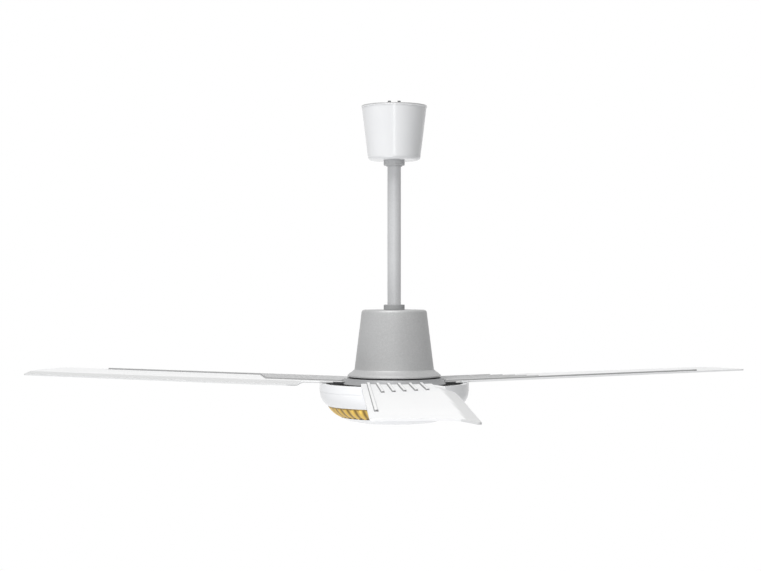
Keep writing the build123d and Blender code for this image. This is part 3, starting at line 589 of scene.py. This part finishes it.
def bladeMesh(name):
    sizes = bladeSet
    length = sizes["tipBack"] - sizes["rootStart"]
    top, low, paintedShades, lips, edges = [], [], [], [], []
    for s in bladeStops(length):
        uBack, back, lip, bend, crease, creaseDrop, slope = bladeSection(s / length)
        ribs = bladeRibs(uBack)
        v = bladeColumns(ribs, back, lip, crease)
        share = np.clip((v - back) / max(lip - back, 1e-6), 0, 1)
        tip = np.interp(share, (0, 1), (sizes["tipBack"], sizes["tipLip"]))
        u = sizes["rootStart"] + (tip - sizes["rootStart"]) * s / length
        risen = np.maximum(0, u - sizes["riseFrom"])
        rise = sizes["tipRise"] * risen / (sizes["tipBack"] - sizes["riseFrom"])
        drop = np.where(v > crease, creaseDrop * np.clip((v - crease) / max(bend - crease, 1e-3), 0, 1), 0)
        drop = drop + np.where(v > bend, slope * (v - bend), 0)
        sheet = seatZ + rise - drop
        top.append(np.stack([u, v, sheet + ribLift(u, v, ribs)], axis=1))
        low.append(np.stack([u, v, sheet - sizes["thickness"]], axis=1))

        # Painted shade: the rib walls, shoulders and ends, the sheet next to the ring, the root's corners and
        # the lip's edge near the root are marked to be darkened.
        wall, edge = paintedRibShade(u, v, ribs), np.zeros(len(v))
        edge[-1] = paintedShadeSet["edgePaintedShade"] * (u[-1] < paintedShadeSet["edgeEnd"])
        if u[0] < paintedShadeSet["cornerEnd"]:
            wall[[0, -1]] = edge[[0, -1]] = 1.0
        paintedShades.append(wall)
        edges.append(edge)
        # Painted shade: the turned-down lip is marked to be greyed, fading in past its bend.
        grown = np.clip((u - sizes["lipStart"]) / (sizes["lipFull"] - sizes["lipStart"]), 0, 1)
        lips.append(np.clip((v - bend) / paintedShadeSet["lipFade"], 0, 1) * grown)
    rows, count = len(top), len(top[0])
    piece = newPiece(name, np.concatenate(top + low) * mm, sheetFaces(rows, count))
    addMark(piece, "ribEdgePaintedShade", np.concatenate(paintedShades + edges))
    addMark(piece, "lipPaintedShade", np.concatenate(lips + lips))
    return piece


for number, angle in enumerate((-90, 30, 150), start=1):
    blade = bladeMesh(f"bladeSheet{number}")
    reworked(blade.data, join=bladeSet["join"] * mm, outward=True)
    blade.data.transform(Matrix.Rotation(math.radians(angle), 4, "Z"))
    smoothed(blade, bladeSet["sharp"])
    blade.data.materials.append(finishes["satinWhite"])
    place(blade, f"blade_{number}")
print("blades made")


def geometryTree(name, inputs):
    tree = bpy.data.node_groups.new(name, "GeometryNodeTree")
    tree.interface.new_socket("Geometry", in_out="INPUT", socket_type="NodeSocketGeometry")
    sockets = {}
    for label, kind, value in inputs:
        socket = tree.interface.new_socket(label, in_out="INPUT", socket_type=kind)
        if value is not None:
            socket.default_value = value
        sockets[label] = socket.identifier
    tree.interface.new_socket("Geometry", in_out="OUTPUT", socket_type="NodeSocketGeometry")
    return tree, addNode(tree, "NodeGroupInput"), addNode(tree, "NodeGroupOutput"), sockets


def runTree(piece, tree, sockets, values):
    # Runs the tree once and keeps its result as the piece's own plain mesh.
    modifier = piece.modifiers.new(tree.name, "NODES")
    modifier.node_group = tree
    for label, value in values.items():
        modifier[sockets[label]] = value
    graph = bpy.context.evaluated_depsgraph_get()
    mesh = bpy.data.meshes.new_from_object(piece.evaluated_get(graph))
    piece.modifiers.remove(modifier)
    old = piece.data
    piece.data = mesh
    mesh.name = piece.name
    bpy.data.meshes.remove(old)
    return piece


def lathe(name, profile, steps):
    # profile is a closed loop of (radius, height), turned round the fan's axis.
    count = len(profile)
    turns = [2 * math.pi * i / steps for i in range(steps)]
    points = [(r * math.cos(a) * mm, r * math.sin(a) * mm, z * mm) for a in turns for r, z in profile]
    faces = []
    for i in range(steps):
        here, there = i * count, (i + 1) % steps * count
        for j in range(count):
            after = (j + 1) % count
            faces.append((here + j, here + after, there + after, there + j))
    piece = newPiece(name, points, faces)
    reworked(piece.data, outward=True)
    return piece


# Gold ring: a turned bulge with round flutes that follow it from its top edge to its foot.
goldSet = {
    "centre": (67.24, -438.80), "bulge": 42.35, "topR": 103.3, "topZ": -461.0, "footR": 84.2,
    "footZ": -477.6, "ledgeR": 99.53, "innerTop": (96.4, -463.3), "wall": 2.4, "flutes": 42,
    "fluteDepth": 1.0, "stepsEach": 14, "outerSteps": 17, "innerSteps": 9, "innerStart": 0.12,
    "fluteRound": 0.8, "topPaintedShade": (1.0, 0.6), "sharp": 40,
}


def goldProfile(sizes):
    # The ring's section, with the number of its points that lie on the outside.
    middleR, middleZ = sizes["centre"]
    start = math.atan2(sizes["topZ"] - middleZ, sizes["topR"] - middleR)
    end = math.atan2(sizes["footZ"] - middleZ, sizes["footR"] - middleR)

    def arc(radius, angles):
        return [(middleR + radius * math.cos(a), middleZ + radius * math.sin(a)) for a in angles]

    outer = arc(sizes["bulge"], np.linspace(start, end, sizes["outerSteps"]))
    innerAngles = np.linspace(end, start + sizes["innerStart"], sizes["innerSteps"])
    inner = arc(sizes["bulge"] - sizes["wall"], innerAngles)
    innerR, innerZ = sizes["innerTop"]
    ledge = [(innerR, innerZ), (sizes["ledgeR"], innerZ), (sizes["ledgeR"], sizes["topZ"])]
    return outer + inner + ledge, len(outer)


def fluteTree():
    # Sinks each marked point towards the ring's inside, by the depth of the flute that it lies in.
    tree, source, result, sockets = geometryTree("fluteTree", [
        ("Flute Count", "NodeSocketInt", 42), ("Flute Depth", "NodeSocketFloat", 0.001),
        ("Centre Radius", "NodeSocketFloat", 0.067), ("Centre Height", "NodeSocketFloat", -0.44),
        ("Finish", "NodeSocketMaterial", None),
    ])
    apart = addNode(tree, "ShaderNodeSeparateXYZ")
    tree.links.new(addNode(tree, "GeometryNodeInputPosition").outputs[0], apart.inputs[0])
    x, y, z = (apart.outputs[axis] for axis in "XYZ")
    turn = mathNode(tree, "MULTIPLY", mathNode(tree, "ARCTAN2", y, x), source.outputs["Flute Count"])
    hollow = mathNode(tree, "ABSOLUTE", mathNode(tree, "COSINE", mathNode(tree, "MULTIPLY", turn, 0.5)))
    shape = mathNode(tree, "POWER", hollow, goldSet["fluteRound"])
    mask = addNode(tree, "GeometryNodeInputNamedAttribute", data_type="FLOAT")
    mask.inputs["Name"].default_value = "fluteMask"
    sunk = mathNode(tree, "MULTIPLY", shape, source.outputs["Flute Depth"])
    amount = mathNode(tree, "MULTIPLY", sunk, mask.outputs["Attribute"])

    def length(a, b):
        squares = mathNode(tree, "ADD", mathNode(tree, "MULTIPLY", a, a), mathNode(tree, "MULTIPLY", b, b))
        return mathNode(tree, "SQRT", squares)

    radial = length(x, y)
    outR = mathNode(tree, "SUBTRACT", radial, source.outputs["Centre Radius"])
    outZ = mathNode(tree, "SUBTRACT", z, source.outputs["Centre Height"])
    reach = length(outR, outZ)
    moveR = mathNode(tree, "MULTIPLY", mathNode(tree, "DIVIDE", outR, reach), amount)
    moveZ = mathNode(tree, "MULTIPLY", mathNode(tree, "DIVIDE", outZ, reach), amount)
    inward = mathNode(tree, "DIVIDE", mathNode(tree, "MULTIPLY", moveR, -1.0), radial)
    offset = addNode(tree, "ShaderNodeCombineXYZ")
    tree.links.new(mathNode(tree, "MULTIPLY", inward, x), offset.inputs["X"])
    tree.links.new(mathNode(tree, "MULTIPLY", inward, y), offset.inputs["Y"])
    tree.links.new(mathNode(tree, "MULTIPLY", moveZ, -1.0), offset.inputs["Z"])

    # Painted shade: the flutes' hollows are marked to be darkened, deepest at their middles.
    keep = addNode(tree, "GeometryNodeStoreNamedAttribute", data_type="FLOAT", domain="POINT")
    keep.inputs["Name"].default_value = "groovePaintedShade"
    tree.links.new(source.outputs["Geometry"], keep.inputs["Geometry"])
    tree.links.new(mathNode(tree, "MULTIPLY", shape, mask.outputs["Attribute"]), keep.inputs["Value"])
    shift = addNode(tree, "GeometryNodeSetPosition")
    tree.links.new(keep.outputs["Geometry"], shift.inputs["Geometry"])
    tree.links.new(offset.outputs[0], shift.inputs["Offset"])
    real = addNode(tree, "GeometryNodeRealizeInstances")
    paint = addNode(tree, "GeometryNodeSetMaterial")
    tree.links.new(shift.outputs["Geometry"], real.inputs[0])
    tree.links.new(real.outputs[0], paint.inputs["Geometry"])
    tree.links.new(source.outputs["Finish"], paint.inputs["Material"])
    tree.links.new(paint.outputs["Geometry"], result.inputs["Geometry"])
    return tree, sockets


profile, outerCount = goldProfile(goldSet)
steps = goldSet["flutes"] * goldSet["stepsEach"]
ring = lathe("goldRing", profile, steps)
addMark(ring, "fluteMask", np.tile([j < outerCount for j in range(len(profile))], steps))
# Painted shadow: the ring's top edge, under the bowl's foot, is marked to be darkened.
addMark(ring, "rimPaintedShade", np.tile([*goldSet["topPaintedShade"]] + [0.0] * (len(profile) - 2), steps))
tree, sockets = fluteTree()
runTree(ring, tree, sockets, {
    "Flute Count": goldSet["flutes"], "Flute Depth": goldSet["fluteDepth"] * mm,
    "Centre Radius": goldSet["centre"][0] * mm, "Centre Height": goldSet["centre"][1] * mm,
    "Finish": finishes["plateGold"],
})
smoothed(ring, goldSet["sharp"])
place(ring, "gold_ring")
print("gold ring made")

# A white room with no walls: seen, mirrored or looked through it is white, and it lights the fan faintly.
roomSet = {"ambient": 0.3, "aim": (0, 0, -0.3)}
lampSet = {
    "key": dict(place=(-1.6, -3.4, 5.6), size=(4.0, 4.0), power=455, colour=(1.0, 0.995, 0.985)),
    "under": dict(place=(-0.9, -1.9, -2.8), size=(2.0, 2.0), power=70, colour=(0.985, 0.99, 1.0)),
    "streak": dict(place=(-0.16, -3.6, -0.9), size=(0.5, 1.4), power=10, colour=(1, 1, 1)),
}

world = bpy.data.worlds.new("studio")
scene.world = world
world.use_nodes = True
room = world.node_tree
path = addNode(room, "ShaderNodeLightPath")
mirrored = mathNode(room, "MAXIMUM", path.outputs["Is Glossy Ray"], path.outputs["Is Transmission Ray"])
seen = mathNode(room, "MAXIMUM", path.outputs["Is Camera Ray"], mirrored)
strength = mathNode(room, "MULTIPLY_ADD", seen, 1 - roomSet["ambient"], roomSet["ambient"])
room.nodes["Background"].inputs["Color"].default_value = (1, 1, 1, 1)
room.links.new(strength, room.nodes["Background"].inputs["Strength"])

for name, values in lampSet.items():
    lamp = bpy.data.objects.new(name + "Lamp", bpy.data.lights.new(name + "Lamp", "AREA"))
    scene.collection.objects.link(lamp)
    lamp.data.shape = "RECTANGLE"
    lamp.data.size, lamp.data.size_y = values["size"]
    lamp.data.energy = values["power"]
    lamp.data.color = values["colour"]
    lamp.visible_camera = False
    lamp.location = values["place"]
    way = Vector(roomSet["aim"]) - Vector(values["place"])
    lamp.rotation_euler = way.to_track_quat("-Z", "Y").to_euler()
print("room and light made")
